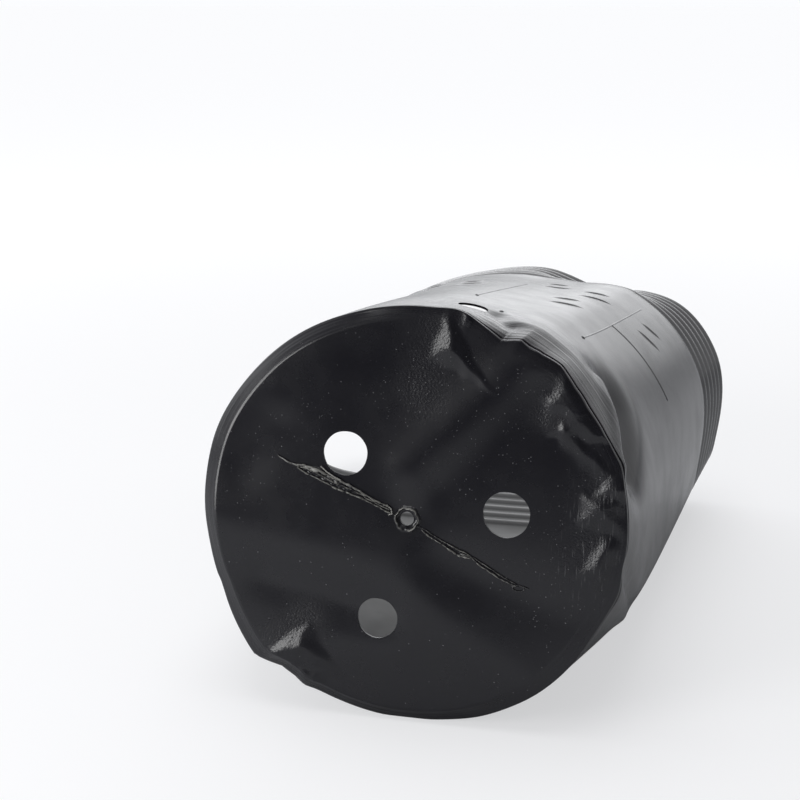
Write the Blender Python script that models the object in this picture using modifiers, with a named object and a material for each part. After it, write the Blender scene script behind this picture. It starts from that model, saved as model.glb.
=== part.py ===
"""Seedling bag: a soft blow-moulded nursery pot of black polyethylene, lying on its side.

The bag is moulded as one turned shell: a flat base with a bevelled edge, a wall that widens
a little towards the mouth, and a ribbed collar. The thin wall can't keep its round
section once the bag lies down, so the moulded shell is laid on its side and slumped: the base
stays nearly round and leans back, and the mouth sags into a low oval with a flat underside.

Frame: metres, +Z up, base towards -Y, mouth towards +Y, lying on the plane z = 0.
"""
import math

import bpy
import numpy as np
from mathutils import Matrix, Vector

# Moulded bag, before it slumps
LENGTH = 0.222
BASE_DIAMETER = 0.130
BODY_DIAMETER = 0.140
MOUTH_DIAMETER = 0.145
WALL = 0.0007
BEVEL_WIDTH = 0.0046
BEVEL_DEPTH = 0.0034
COLLAR_LENGTH = 0.050
RIB_COUNT = 6
GROOVE_DEPTH = 0.001

# Slumped form
MOUTH_HEIGHT = 0.1003
BASE_LEAN = math.radians(6.8)
LEAN_LEFT_AT_MOUTH = 0.7
MOUTH_SWAY = 0.011
BELLY_DROP = 0.44
BELLY_DROP_LENGTH = 0.045
BELLY_DROP_POWER = 1.5
BELLY_SQUARENESS = 0.70
LEFT_SQUARENESS = 2.8
LEFT_FLARE = 0.09
LEFT_FLARE_POWER = 3
FLAT_DEPTH = 0.0006

# Drainage holes in the base: angle in degrees, distance from the centre, diameter
BASE_HOLES = (
    (136.2, 0.0270, 0.0135),
    (6.9, 0.0301, 0.0140),
    (255.4, 0.0329, 0.0125),
)

# Drainage holes in the wall, spread evenly around it
SIDE_HOLE_COUNT = 3
SIDE_HOLE_DIAMETER = 0.009
SIDE_HOLE_FROM_BASE = 0.022
SIDE_HOLE_FIRST_ANGLE = 78.5

# Pinched weld across the base and the blow hole in its middle
WELD_LENGTH = 0.084
WELD_ANGLE = -25.0
WELD_HEIGHT = 0.0012
WELD_WIDTH = 0.0028
BLOW_RING_DIAMETER = 0.0076
BLOW_HOLE_DIAMETER = 0.0040
BLOW_RING_HEIGHT = 0.0015

# Outline of the weld: place along its half length, share of its full width
WELD_OUTLINE = (
    (-1.0, 0.12),
    (-0.9, 0.7),
    (-0.72, 1.0),
    (-0.4, 0.75),
    (-0.1, 0.45),
    (0.3, 0.5),
    (0.6, 0.42),
    (0.9, 0.34),
    (1.0, 0.12),
)

# Knocks in the base rim: angle in degrees, depth inwards, half width in degrees, reach along
RIM_KNOCKS = (
    (66.0, 0.0038, 5.0, 0.012),
    (226.0, -0.0021, 6.0, 0.016),
)
RIM_KNOCK_FADE = 8

# Fineness of the facets
AROUND = 64
STEPS_PER_RIB = 4
WALL_STEPS = 8
BEVEL_STEPS = 2
BASE_RINGS = 5
HOLE_SIDES = 24
SHARP_ANGLE = math.radians(35)
MERGE_DISTANCE = 0.00005

BASE_RADIUS = BASE_DIAMETER / 2
COLLAR_START = LENGTH - COLLAR_LENGTH
CUTTER_LENGTH = 0.010

BLACK = (0.012, 0.012, 0.014, 1.0)
SATIN_ROUGHNESS = 0.42


def crest_radius(along):
    """Radius of the moulded wall over the crests of its ribs at a distance from the base:
    a straight taper up to the collar and a second one along it."""
    return np.interp(
        along,
        (BEVEL_DEPTH, COLLAR_START, LENGTH),
        (BASE_RADIUS, BODY_DIAMETER / 2, MOUTH_DIAMETER / 2),
    )


def groove_depth(along):
    """Depth below the crests: none on the plain wall, then a cosine wave with a groove
    between each rib and the next."""
    turns = np.clip(along - COLLAR_START, 0, None) / (COLLAR_LENGTH / RIB_COUNT)
    return GROOVE_DEPTH * (0.5 - 0.5 * np.cos(2 * math.pi * turns))


def profile():
    """Half section of the moulded bag as (radius, along), from the mouth down to the centre
    of the base."""
    collar = np.linspace(LENGTH, COLLAR_START, RIB_COUNT * STEPS_PER_RIB + 1)
    wall = np.linspace(COLLAR_START, BEVEL_DEPTH, WALL_STEPS + 1)[1:]
    along = np.concatenate((collar, wall))
    points = list(zip(crest_radius(along) - groove_depth(along), along))
    for share in np.linspace(1, 0, BEVEL_STEPS + 1)[1:]:
        points.append((BASE_RADIUS - BEVEL_WIDTH * (1 - share), BEVEL_DEPTH * share))
    for radius in np.linspace(BASE_RADIUS - BEVEL_WIDTH, 0, BASE_RINGS + 1)[1:]:
        points.append((radius, 0.0))
    return points


def knock_depth(radius, along, angle):
    """Depth of the knocks in the rim: each is a bell in angle and along the wall, and fades
    towards the middle of the base."""
    fade = np.minimum(radius / BASE_RADIUS, 1) ** RIM_KNOCK_FADE
    depth = np.zeros_like(radius)
    for centre, deepest, spread, reach in RIM_KNOCKS:
        apart = np.degrees(np.angle(np.exp(1j * (angle - math.radians(centre)))))
        depth = depth + deepest * np.exp(-(apart / spread) ** 2 - (along / reach) ** 2) * fade
    return depth


def slumped(radius, along, angle, knock=0.0):
    """Place of a moulded point once the soft bag lies on its side.

    Each section keeps its girth. Its height falls evenly from the base to the mouth, its
    widest level sinks below the middle, and the half above and the half below are joined
    ellipses, the lower one squarer, most of all on the left at the mouth, where the wall
    bulges out. Half an ellipse is about as long as the diagonal of its
    two half axes, times a constant, so the two diagonals together stay what they are on the
    round section. Grooves and knocks go inwards, square to the section. The base plane leans
    back, the top sways to +X towards the mouth, and what would reach below the floor is
    pressed flat."""
    share = np.clip(along / LENGTH, 0, 1)
    crest = crest_radius(along)
    upright = math.cos(BASE_LEAN)
    height = 2 * crest * (upright - (upright - MOUTH_HEIGHT / MOUTH_DIAMETER) * share)
    sag = 1 - np.exp(-(along / BELLY_DROP_LENGTH) ** BELLY_DROP_POWER)
    below = height / 2 * (1 - BELLY_DROP * sag)
    above = height - below
    diagonals = 2 * math.hypot(1, 1) * crest
    upper_diagonal = (diagonals ** 2 + above ** 2 - below ** 2) / (2 * diagonals)
    half_width = np.sqrt(upper_diagonal ** 2 - above ** 2)

    across = np.cos(angle)
    rise = np.sin(angle)
    reach = np.where(rise < 0, below, above)
    flare = np.where(across < 0, share ** LEFT_FLARE_POWER, 0)
    squareness = BELLY_SQUARENESS * sag + LEFT_SQUARENESS * flare
    power = 2 / np.where(rise < 0, 2 + squareness, 2)
    on_wall = along >= BEVEL_DEPTH
    scale = np.where(on_wall, 1, radius / crest)
    sunk = np.where(on_wall, crest - radius, 0) + knock
    facing = np.hypot(across / half_width, rise / reach)
    x = half_width * scale * np.sign(across) * np.abs(across) ** power
    x = x * (1 + LEFT_FLARE * flare) - sunk * across / half_width / facing
    z = reach * scale * np.sign(rise) * np.abs(rise) ** power
    z = z - sunk * rise / reach / facing + below
    x = x + MOUTH_SWAY * share * z / height
    z = z - FLAT_DEPTH
    y = along + z * np.tan(BASE_LEAN * (1 - (1 - LEAN_LEFT_AT_MOUTH) * share))
    return np.stack((x, y, np.maximum(z, 0)), axis=-1)


def middle_of_box(points):
    """Middle of the bag's footprint, which becomes the origin."""
    low = points.min(axis=0)
    high = points.max(axis=0)
    return Vector(((low[0] + high[0]) / 2, (low[1] + high[1]) / 2, 0))


def base_frame(middle):
    """Frame on the middle of the base's outer face: X across, Y up the face, Z outwards."""
    height = BASE_RADIUS * math.cos(BASE_LEAN) - FLAT_DEPTH
    up = Vector((0, math.sin(BASE_LEAN), math.cos(BASE_LEAN)))
    out = Vector((0, -math.cos(BASE_LEAN), math.sin(BASE_LEAN)))
    frame = Matrix((Vector((1, 0, 0)), up, out)).transposed().to_4x4()
    frame.translation = Vector((0, height * math.tan(BASE_LEAN), height)) - middle
    return frame


def new_collection(name):
    collection = bpy.data.collections.new(name)
    bpy.context.scene.collection.children.link(collection)
    return collection


def add_object(name, mesh, collection):
    thing = bpy.data.objects.new(name, mesh)
    collection.objects.link(thing)
    return thing


def black_plastic():
    """Black polyethylene with a satin skin."""
    material = bpy.data.materials.new("black_polyethylene")
    material.use_nodes = True
    shader = material.node_tree.nodes["Principled BSDF"]
    shader.inputs["Base Color"].default_value = BLACK
    shader.inputs["Roughness"].default_value = SATIN_ROUGHNESS
    shader.inputs["Metallic"].default_value = 0.0
    return material


def turned_shell(collection):
    """The moulded bag's outer skin, turned from its half section."""
    points = profile()
    mesh = bpy.data.meshes.new("half_section")
    edges = [(index, index + 1) for index in range(len(points) - 1)]
    mesh.from_pydata([(radius, 0, along) for radius, along in points], edges, [])
    guide = add_object("half_section", mesh, collection)
    screw = guide.modifiers.new("turn", "SCREW")
    screw.steps = AROUND
    screw.render_steps = AROUND
    screw.use_merge_vertices = True
    screw.merge_threshold = MERGE_DISTANCE
    depsgraph = bpy.context.evaluated_depsgraph_get()
    skin = bpy.data.meshes.new_from_object(guide.evaluated_get(depsgraph))
    bpy.data.objects.remove(guide)
    return skin


def lay_down(skin):
    """Lays the turned skin on its side and slumps it; returns the middle of its footprint."""
    points = np.empty(len(skin.vertices) * 3)
    skin.vertices.foreach_get("co", points)
    points = points.reshape(-1, 3)
    angle = np.arctan2(-points[:, 1], points[:, 0])
    along = points[:, 2]
    radius = np.hypot(points[:, 0], points[:, 1])
    places = slumped(radius, along, angle, knock_depth(radius, along, angle))
    middle = middle_of_box(places)
    places = places - np.array(middle)
    skin.vertices.foreach_set("co", places.ravel())
    skin.update()
    return middle


def as_guide(thing):
    """Keeps a cutter or a shape that is joined to the bag out of the finished model."""
    thing.hide_render = True
    thing.display_type = "WIRE"


def cylinder(name, diameter, depth, place, collection):
    """Upright cylinder of the given depth, moved by a placing matrix."""
    bpy.ops.mesh.primitive_cylinder_add(vertices=HOLE_SIDES, radius=diameter / 2, depth=depth)
    thing = bpy.context.object
    thing.name = name
    thing.data.name = name
    thing.matrix_world = place
    thing.users_collection[0].objects.unlink(thing)
    collection.objects.link(thing)
    as_guide(thing)
    return thing


def base_cutters(frame, collection):
    """Cutters for the drainage holes and the blow hole of the base."""
    for number, (angle, distance, diameter) in enumerate(BASE_HOLES, start=1):
        turn = math.radians(angle)
        shift = Vector((distance * math.cos(turn), distance * math.sin(turn), 0))
        place = frame @ Matrix.Translation(shift)
        cylinder(f"base_hole_{number}", diameter, CUTTER_LENGTH, place, collection)
    cylinder("blow_hole", BLOW_HOLE_DIAMETER, CUTTER_LENGTH, frame, collection)


def side_cutters(middle, collection):
    """Cutters for the drainage holes of the wall, each square to the wall where it lies."""
    along = np.array(SIDE_HOLE_FROM_BASE)
    radius = crest_radius(along)
    small_step = 0.001
    for number in range(SIDE_HOLE_COUNT):
        turn = math.radians(SIDE_HOLE_FIRST_ANGLE + 360 * number / SIDE_HOLE_COUNT)
        spot = Vector(slumped(radius, along, np.array(turn)))
        beside = Vector(slumped(radius, along, np.array(turn + small_step))) - spot
        onward = Vector(slumped(radius, along + small_step, np.array(turn))) - spot
        outwards = beside.cross(onward).to_track_quat("Z", "Y").to_matrix().to_4x4()
        place = Matrix.Translation(spot - middle) @ outwards
        cylinder(f"side_hole_{number + 1}", SIDE_HOLE_DIAMETER, CUTTER_LENGTH, place, collection)


def weld_bead(frame, collection):
    """Pinched weld: a thin bar with pointed ends, sunk by half a wall into the base."""
    upper = [(along * WELD_LENGTH / 2, width * WELD_WIDTH / 2) for along, width in WELD_OUTLINE]
    lower = [(x, -y) for x, y in reversed(upper)]
    curve = bpy.data.curves.new("weld_outline", "CURVE")
    curve.dimensions = "2D"
    curve.fill_mode = "BOTH"
    curve.extrude = (WELD_HEIGHT + WALL / 2) / 2
    spline = curve.splines.new("POLY")
    spline.points.add(len(upper + lower) - 1)
    for point, (x, y) in zip(spline.points, upper + lower):
        point.co = (x, y, 0, 1)
    spline.use_cyclic_u = True
    outline = add_object("weld_outline", curve, collection)
    depsgraph = bpy.context.evaluated_depsgraph_get()
    mesh = bpy.data.meshes.new_from_object(outline.evaluated_get(depsgraph))
    bpy.data.objects.remove(outline)
    bead = add_object("weld_bead", mesh, collection)
    lift = Matrix.Translation((0, 0, (WELD_HEIGHT - WALL / 2) / 2))
    bead.matrix_world = frame @ Matrix.Rotation(math.radians(WELD_ANGLE), 4, "Z") @ lift
    weld = bead.modifiers.new("close_caps", "WELD")
    weld.merge_threshold = MERGE_DISTANCE
    as_guide(bead)
    return bead


def blow_ring(frame, collection):
    """Raised ring around the blow hole, sunk by half a wall into the base."""
    depth = BLOW_RING_HEIGHT + WALL / 2
    lift = Matrix.Translation((0, 0, (BLOW_RING_HEIGHT - WALL / 2) / 2))
    return cylinder("blow_ring", BLOW_RING_DIAMETER, depth, frame @ lift, collection)


def boolean(thing, name, operation, operand=None, group=None):
    """Boolean modifier with one object, or with all objects of a collection."""
    modifier = thing.modifiers.new(name, "BOOLEAN")
    modifier.operation = operation
    modifier.solver = "EXACT"
    if group is None:
        modifier.object = operand
    else:
        modifier.operand_type = "COLLECTION"
        modifier.collection = group


def build():
    for thing in list(bpy.data.objects):
        bpy.data.objects.remove(thing)

    parts = new_collection("seedling_bag")
    raised = new_collection("raised_details")
    cutters = new_collection("cutters")

    skin = turned_shell(raised)
    middle = lay_down(skin)
    frame = base_frame(middle)

    bag = add_object("seedling_bag", skin, parts)
    skin.name = "seedling_bag"
    skin.materials.append(black_plastic())
    skin.shade_smooth()
    skin.set_sharp_from_angle(angle=SHARP_ANGLE)

    shell = bag.modifiers.new("wall", "SOLIDIFY")
    shell.thickness = WALL
    shell.offset = -1
    shell.use_even_offset = True

    boolean(bag, "weld", "UNION", operand=weld_bead(frame, raised))
    boolean(bag, "ring", "UNION", operand=blow_ring(frame, raised))
    base_cutters(frame, cutters)
    side_cutters(middle, cutters)
    boolean(bag, "holes", "DIFFERENCE", group=cutters)


build()
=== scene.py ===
"""Looks of a seedling bag: a soft black nursery pot that lies on its side on a white table.

The bag is worked out in its moulded form, lying level with its axis along +Y and its base at
y = 0, and every point of it is then carried through laid_down(), which slumps and dents it.
"""
import math

import bmesh
import bpy
import numpy as np
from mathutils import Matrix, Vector


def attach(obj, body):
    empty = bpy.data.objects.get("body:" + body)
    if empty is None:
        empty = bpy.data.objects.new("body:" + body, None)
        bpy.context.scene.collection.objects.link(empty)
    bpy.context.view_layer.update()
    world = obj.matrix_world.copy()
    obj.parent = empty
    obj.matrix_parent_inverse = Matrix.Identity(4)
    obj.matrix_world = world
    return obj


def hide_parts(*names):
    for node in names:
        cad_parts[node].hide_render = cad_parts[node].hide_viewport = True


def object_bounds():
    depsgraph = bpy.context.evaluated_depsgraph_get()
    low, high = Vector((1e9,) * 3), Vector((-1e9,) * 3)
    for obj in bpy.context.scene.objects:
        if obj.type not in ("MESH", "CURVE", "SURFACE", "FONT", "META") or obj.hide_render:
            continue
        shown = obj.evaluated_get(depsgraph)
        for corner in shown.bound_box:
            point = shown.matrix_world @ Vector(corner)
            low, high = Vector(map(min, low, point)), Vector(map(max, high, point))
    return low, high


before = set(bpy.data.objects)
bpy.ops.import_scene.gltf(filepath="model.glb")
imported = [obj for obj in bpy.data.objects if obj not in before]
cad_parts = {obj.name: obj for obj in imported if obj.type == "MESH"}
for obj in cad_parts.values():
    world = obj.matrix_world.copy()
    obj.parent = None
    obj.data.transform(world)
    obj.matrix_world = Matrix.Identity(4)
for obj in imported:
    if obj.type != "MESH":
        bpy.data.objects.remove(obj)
cad_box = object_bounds()


# Bag shell
# The bag is blown in a mould in one shot: a flat base with a bevelled edge, a thin wall that
# widens a little, and a ribbed collar at the mouth. Its drainage holes are punched out. It is
# soft, so it slumps on its side, and handling has dented its base and creased its wall.
LENGTH = 0.222
BASE_RADIUS = 0.065
BODY_RADIUS = 0.070
MOUTH_RADIUS = 0.0725
WALL = 0.0007
BEVEL_WIDTH = 0.0046
BEVEL_DEPTH = 0.0034
LIP_START = 0.93
LIP_LENGTH = 0.0004
RIM_GROOVE_PLACE = 0.0049
RIM_GROOVE_SPREAD = 0.0003
RIM_GROOVE_DEPTH = 0.0004
COLLAR_LENGTH = 0.050
COLLAR_START = LENGTH - COLLAR_LENGTH
RIB_COUNT = 6
GROOVE_DEPTH = 0.001
BLOW_HOLE_RADIUS = 0.0021

MOUTH_HEIGHT = 0.1003
BASE_LEAN = math.radians(6.8)
LEAN_LEFT_AT_MOUTH = 0.7
MOUTH_SWAY = 0.011
BELLY_DROP = 0.44
BELLY_DROP_LENGTH = 0.045
BELLY_DROP_POWER = 1.5
BELLY_SQUARENESS = 0.70
LEFT_SQUARENESS = 2.8
LEFT_FLARE = 0.09
LEFT_FLARE_POWER = 3
FLAT_DEPTH = 0.0006

# Soft knocks in the rim of the base: angle in degrees, depth inwards, spread in degrees, reach
RIM_KNOCKS = (
    (34.0, 0.0008, 9.0, 0.020),
    (16.0, -0.0006, 5.0, 0.010),
    (58.5, 0.0009, 2.6, 0.008),
    (79.0, -0.0008, 4.0, 0.012),
    (108.0, 0.0005, 12.0, 0.020),
    (158.0, -0.0007, 12.0, 0.020),
    (190.0, 0.0006, 9.0, 0.012),
    (252.0, 0.0004, 12.0, 0.012),
    (290.0, -0.0007, 9.0, 0.015),
    (331.0, 0.0008, 9.0, 0.015),
)

# Creased knocks in the rim: angle, depth inwards, degrees to its foot before and after, reach
RIM_CREASES = (
    (64.8, 0.0046, 4.2, 11.0, 0.017),
    (49.2, -0.0016, 7.0, 5.0, 0.016),
    (202.4, 0.0005, 1.6, 3.0, 0.012),
    (225.5, -0.0043, 20.0, 7.5, 0.030),
    (240.5, -0.0005, 3.0, 3.0, 0.016),
)
RIM_CREASE_ROUNDING = 0.9
RIM_KNOCK_FADE = 9

# Soft swells of the base, seen from outside: start and end as (right, up), spread, height
BASE_SWELLS = (
    ((-0.0005, 0.000), (0.0005, 0.000), 0.006, -0.0005),
    ((0.0005, 0.016), (0.032, 0.049), 0.0075, 0.0008),
    ((0.012, 0.010), (0.042, 0.040), 0.0075, -0.0004),
    ((-0.060, -0.004), (-0.004, -0.014), 0.013, 0.0011),
    ((-0.044, -0.022), (-0.006, -0.030), 0.007, -0.0009),
    ((-0.036, -0.044), (-0.004, -0.040), 0.009, 0.0006),
    ((0.004, -0.026), (0.038, -0.048), 0.010, 0.0009),
    ((0.012, -0.014), (0.052, -0.026), 0.009, -0.0006),
    ((-0.010, 0.030), (0.010, 0.048), 0.013, -0.0008),
    ((-0.040, 0.040), (-0.030, 0.048), 0.012, 0.0007),
    ((-0.052, 0.012), (-0.040, 0.024), 0.007, -0.0004),
    ((0.0430, 0.0500), (0.0432, 0.0500), 0.009, 0.0012),
)

# Creased folds of the base. Each is a low pyramid, and a side of it is given as a place on its
# foot (right, up), the way it climbs in degrees from +X, and its slope
BASE_FOLDS = (
    (
        (0.0102, 0.0636, -20, 0.33),
        (0.0102, 0.0636, -148, 0.44),
        (0.0066, 0.0480, 66, 0.28),
    ),
    (
        (0.0143, 0.0612, 20, 0.36),
        (0.0175, 0.0625, 163, 0.60),
        (0.0152, 0.0575, 90, 0.50),
        (0.0170, 0.0640, -90, 0.70),
    ),
    (
        (0.0446, 0.0534, -15, 0.33),
        (0.0446, 0.0534, -152, 0.32),
        (0.0405, 0.0355, 85, 0.15),
    ),
    (
        (0.0390, 0.0340, 8, 0.15),
        (0.0570, 0.0350, 185, 0.28),
        (0.0440, 0.0410, -80, 0.35),
        (0.0450, 0.0283, 95, 0.45),
    ),
    (
        (0.0512, 0.0297, -60, 0.42),
        (0.0600, 0.0310, 180, 0.40),
        (0.0540, 0.0335, -100, 0.50),
        (0.0540, 0.0280, 90, 0.50),
    ),
    (
        (0.0465, 0.0240, 50, 0.16),
        (0.0520, 0.0268, 227, 0.45),
        (0.0440, 0.0275, -10, 0.40),
        (0.0600, 0.0150, 125, 0.50),
    ),
    (
        (0.0556, 0.0132, -40, 0.42),
        (0.0670, 0.0160, 180, 0.40),
        (0.0600, 0.0108, 90, 0.50),
    ),
    (
        (0.0512, 0.0080, -3, 0.34),
        (0.0640, 0.0080, 180, 0.30),
        (0.0560, 0.0122, -90, 0.50),
        (0.0560, 0.0015, 80, 0.30),
    ),
    (
        (0.0530, -0.0090, -30, 0.36),
        (0.0625, -0.0060, 165, 0.35),
        (0.0600, -0.0010, -100, 0.40),
        (0.0540, -0.0160, 60, 0.20),
    ),
    (
        (-0.0466, -0.0478, -52, 0.38),
        (-0.0466, -0.0478, 82, 0.23),
        (-0.0300, -0.0350, 215, 0.25),
    ),
    (
        (-0.0345, -0.0545, -20, 0.36),
        (-0.0265, -0.0585, 160, 0.30),
        (-0.0320, -0.0500, -90, 0.30),
    ),
)
FOLD_ROUNDING = 0.00010
FOLD_WANDER = 0.00030

# Bulge of the wall at its upper right: the angles at which it starts and is full on either
# side, its height at the collar, and the steep strip by the rim that it begins with
BULGE_UPPER = (84.0, 59.0)
BULGE_LOWER = (-5.0, 50.0)
BULGE_HEIGHT = 0.0052
STRIP_UPPER = (74.0, 58.0)
STRIP_LOWER = (0.0, 30.0)
STRIP_HEIGHT = 0.0029
STRIP_LENGTH = 0.014

# Folds of the wall: start and end as (degrees around, distance from the base), spread, height
WALL_FOLDS = (
    ((40.5, 0.0240), (19.5, 0.0070), 0.0038, 0.0019),
    ((36.5, 0.0330), (19.5, 0.0190), 0.0092, -0.0062),
    ((71.5, 0.020), (66.5, 0.014), 0.0036, -0.0013),
    ((69.0, 0.200), (67.0, 0.226), 0.0160, -0.0075),
    ((88.0, 0.190), (88.0, 0.222), 0.0200, 0.0014),
    ((112.0, 0.130), (112.0, 0.200), 0.0200, 0.0010),
    ((352.0, 0.006), (338.0, 0.050), 0.0040, -0.0012),
    ((345.0, 0.004), (328.0, 0.060), 0.0050, 0.0010),
    ((262.0, 0.040), (285.0, 0.050), 0.0030, -0.0005),
    ((250.0, 0.058), (280.0, 0.054), 0.0030, 0.0005),
    ((255.0, 0.068), (290.0, 0.074), 0.0035, -0.0006),
    ((245.0, 0.084), (276.0, 0.080), 0.0035, 0.0006),
    ((262.0, 0.096), (295.0, 0.098), 0.0040, -0.0006),
)

# At its right and top the edge of the base is pressed nearly level: the way it faces there,
# the cosines at which that starts and is full, and how far the edge is brought out
PRESSED_EDGE_ANGLE = 20.0
PRESSED_EDGE_RANGE = (-0.15, 0.35)
PRESSED_EDGE_HEIGHT = 0.0031
PRESSED_EDGE_REACH = 0.020

# Drainage holes: angle in degrees, distance from the middle, diameter
BASE_HOLES = (
    (136.2, 0.0270, 0.0135),
    (6.9, 0.0301, 0.0140),
    (255.4, 0.0329, 0.0125),
)
SIDE_HOLE_ANGLES = (78.5, 198.5, 318.5)
SIDE_HOLE_DIAMETER = 0.009
SIDE_HOLE_FROM_BASE = 0.022

# Rubbed, dusty and streaked places of the base: start and end as (right, up), and spread
RUBBED = (
    ((0.008, 0.058), (0.002, 0.040), 0.008),
    ((0.042, 0.043), (0.039, 0.035), 0.005),
    ((0.049, 0.030), (0.049, 0.030), 0.004),
    ((0.058, 0.014), (0.054, -0.008), 0.006),
    ((-0.042, -0.044), (-0.030, -0.034), 0.007),
)
DUSTY = (
    ((-0.052, 0.006), (-0.038, 0.021), 0.009),
    ((-0.040, 0.018), (-0.024, 0.036), 0.008),
    ((0.006, 0.048), (-0.006, 0.034), 0.012),
    ((0.050, 0.004), (0.040, -0.026), 0.012),
    ((0.020, 0.020), (0.030, 0.036), 0.016),
)
STREAKED = (
    ((0.058, 0.010), (0.053, -0.012), 0.009),
)

AROUND = 330
FINE_ARCS = ((58.0, 20.0, 3.2), (226.0, 15.0, 1.6), (14.0, 10.0, 1.2))


def crest_radius(along):
    """Radius over the crests of the ribs: a straight taper up to the collar, and a second
    one along it."""
    return np.interp(
        along,
        (BEVEL_DEPTH, COLLAR_START, LENGTH),
        (BASE_RADIUS, BODY_RADIUS, MOUTH_RADIUS),
    )


def bell(distance, spread, power=2):
    """One at no distance, and falling off as the Gauss curve, or more squarely at a higher
    power."""
    return np.exp(-(np.abs(distance) / spread) ** power)


def to_segment(x, y, start, end):
    """Distance of each point (x, y) from the straight line between start and end."""
    run = np.subtract(end, start)
    share = ((x - start[0]) * run[0] + (y - start[1]) * run[1]) / max(run @ run, 1e-12)
    share = np.clip(share, 0, 1)
    return np.hypot(x - start[0] - share * run[0], y - start[1] - share * run[1])


def smooth_share(value, low, high):
    """Share of the way from low to high, from 0 to 1, with a soft start and end."""
    share = np.clip((value - low) / (high - low), 0, 1)
    return share * share * (3 - 2 * share)


def fold_height(x, up, sides):
    """Height of one creased fold: that of its lowest side, and nothing outside its foot, both
    rounded off by taking the least and the greatest as the logarithm of a sum of powers.
    Slow waves shift its places, which makes its edges uneven."""
    shift = FOLD_WANDER * np.sin(up * 800 + x * 350)
    level_shift = FOLD_WANDER * np.sin(x * 900 - up * 300)
    heights = [
        slope * (
            (x + shift - right) * math.cos(math.radians(way))
            + (up + level_shift - level) * math.sin(math.radians(way))
        )
        for right, level, way, slope in sides
    ]
    lowest = -np.logaddexp.reduce(np.divide(heights, -FOLD_ROUNDING), axis=0)
    return FOLD_ROUNDING * np.logaddexp(0, lowest)


def base_height(x, up):
    """Height of the dented base above its flat form, outwards: the sum of its swells and
    folds."""
    height = np.zeros_like(x)
    for start, end, spread, top in BASE_SWELLS:
        height += top * bell(to_segment(x, up, start, end), spread)
    for sides in BASE_FOLDS:
        height += fold_height(x, up, sides)
    return height


def degrees_apart(angle, centre):
    """Angle from a centre given in degrees, in degrees from -180 to 180."""
    return np.degrees(np.angle(np.exp(1j * (angle - math.radians(centre)))))


def inward_knock(radius, along, angle):
    """Depth of the knocks in the rim. A soft one is a bell around the rim and along the wall.
    A creased one is a tent with a rounded ridge around the rim, which climbs back in a
    straight slope along the wall. Both fade towards the middle of the base."""
    fade = np.minimum(radius / BASE_RADIUS, 1) ** RIM_KNOCK_FADE
    depth = np.zeros_like(radius)
    for centre, deepest, spread, reach in RIM_KNOCKS:
        depth += deepest * bell(degrees_apart(angle, centre), spread) * bell(along, reach) * fade
    for centre, deepest, before, after, reach in RIM_CREASES:
        apart = degrees_apart(angle, centre)
        foot = np.where(apart < 0, before, after)
        tent = np.clip(1 - np.hypot(apart, RIM_CREASE_ROUNDING) / foot, 0, 1)
        depth += deepest * tent * np.clip(1 - along / reach, 0, 1) * fade
    return depth


def wall_height(along, angle):
    """Height of the wall above its plain form. The bulge climbs in a steep strip from the
    rim to a crease, and then slowly to the collar. A fold is a bell across its line, on the
    wall as unrolled from the fold's start."""
    degrees = degrees_apart(angle, 0.0)
    way = along - BEVEL_DEPTH
    strip = smooth_share(degrees, *STRIP_UPPER) * smooth_share(degrees, *STRIP_LOWER)
    height = STRIP_HEIGHT * strip * np.clip(way / STRIP_LENGTH, 0, 1)
    bulge = smooth_share(degrees, *BULGE_UPPER) * smooth_share(degrees, *BULGE_LOWER)
    height += BULGE_HEIGHT * bulge * np.clip(way / (COLLAR_START - BEVEL_DEPTH), 0, 1)
    for (first, start), (last, end), spread, top in WALL_FOLDS:
        unrolled = np.radians(degrees_apart(angle, first)) * BODY_RADIUS
        near = (0.0, start)
        far = (math.radians(last - first) * BODY_RADIUS, end)
        fold = top * bell(to_segment(unrolled, along, near, far), spread)
        height += fold * (1 - bell(along, 0.005))
    return height


def pressed_edge(radius, along, angle):
    """How far the edge of the base is brought out where it is pressed level: nothing on the
    flat, growing over the bevel, and fading along the wall."""
    facing = np.cos(angle - math.radians(PRESSED_EDGE_ANGLE))
    on_bevel = np.clip((radius - BASE_RADIUS + BEVEL_WIDTH) / BEVEL_WIDTH, 0, 1)
    fade = bell(np.maximum(along - BEVEL_DEPTH, 0), PRESSED_EDGE_REACH)
    return PRESSED_EDGE_HEIGHT * smooth_share(facing, *PRESSED_EDGE_RANGE) * on_bevel * fade


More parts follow.
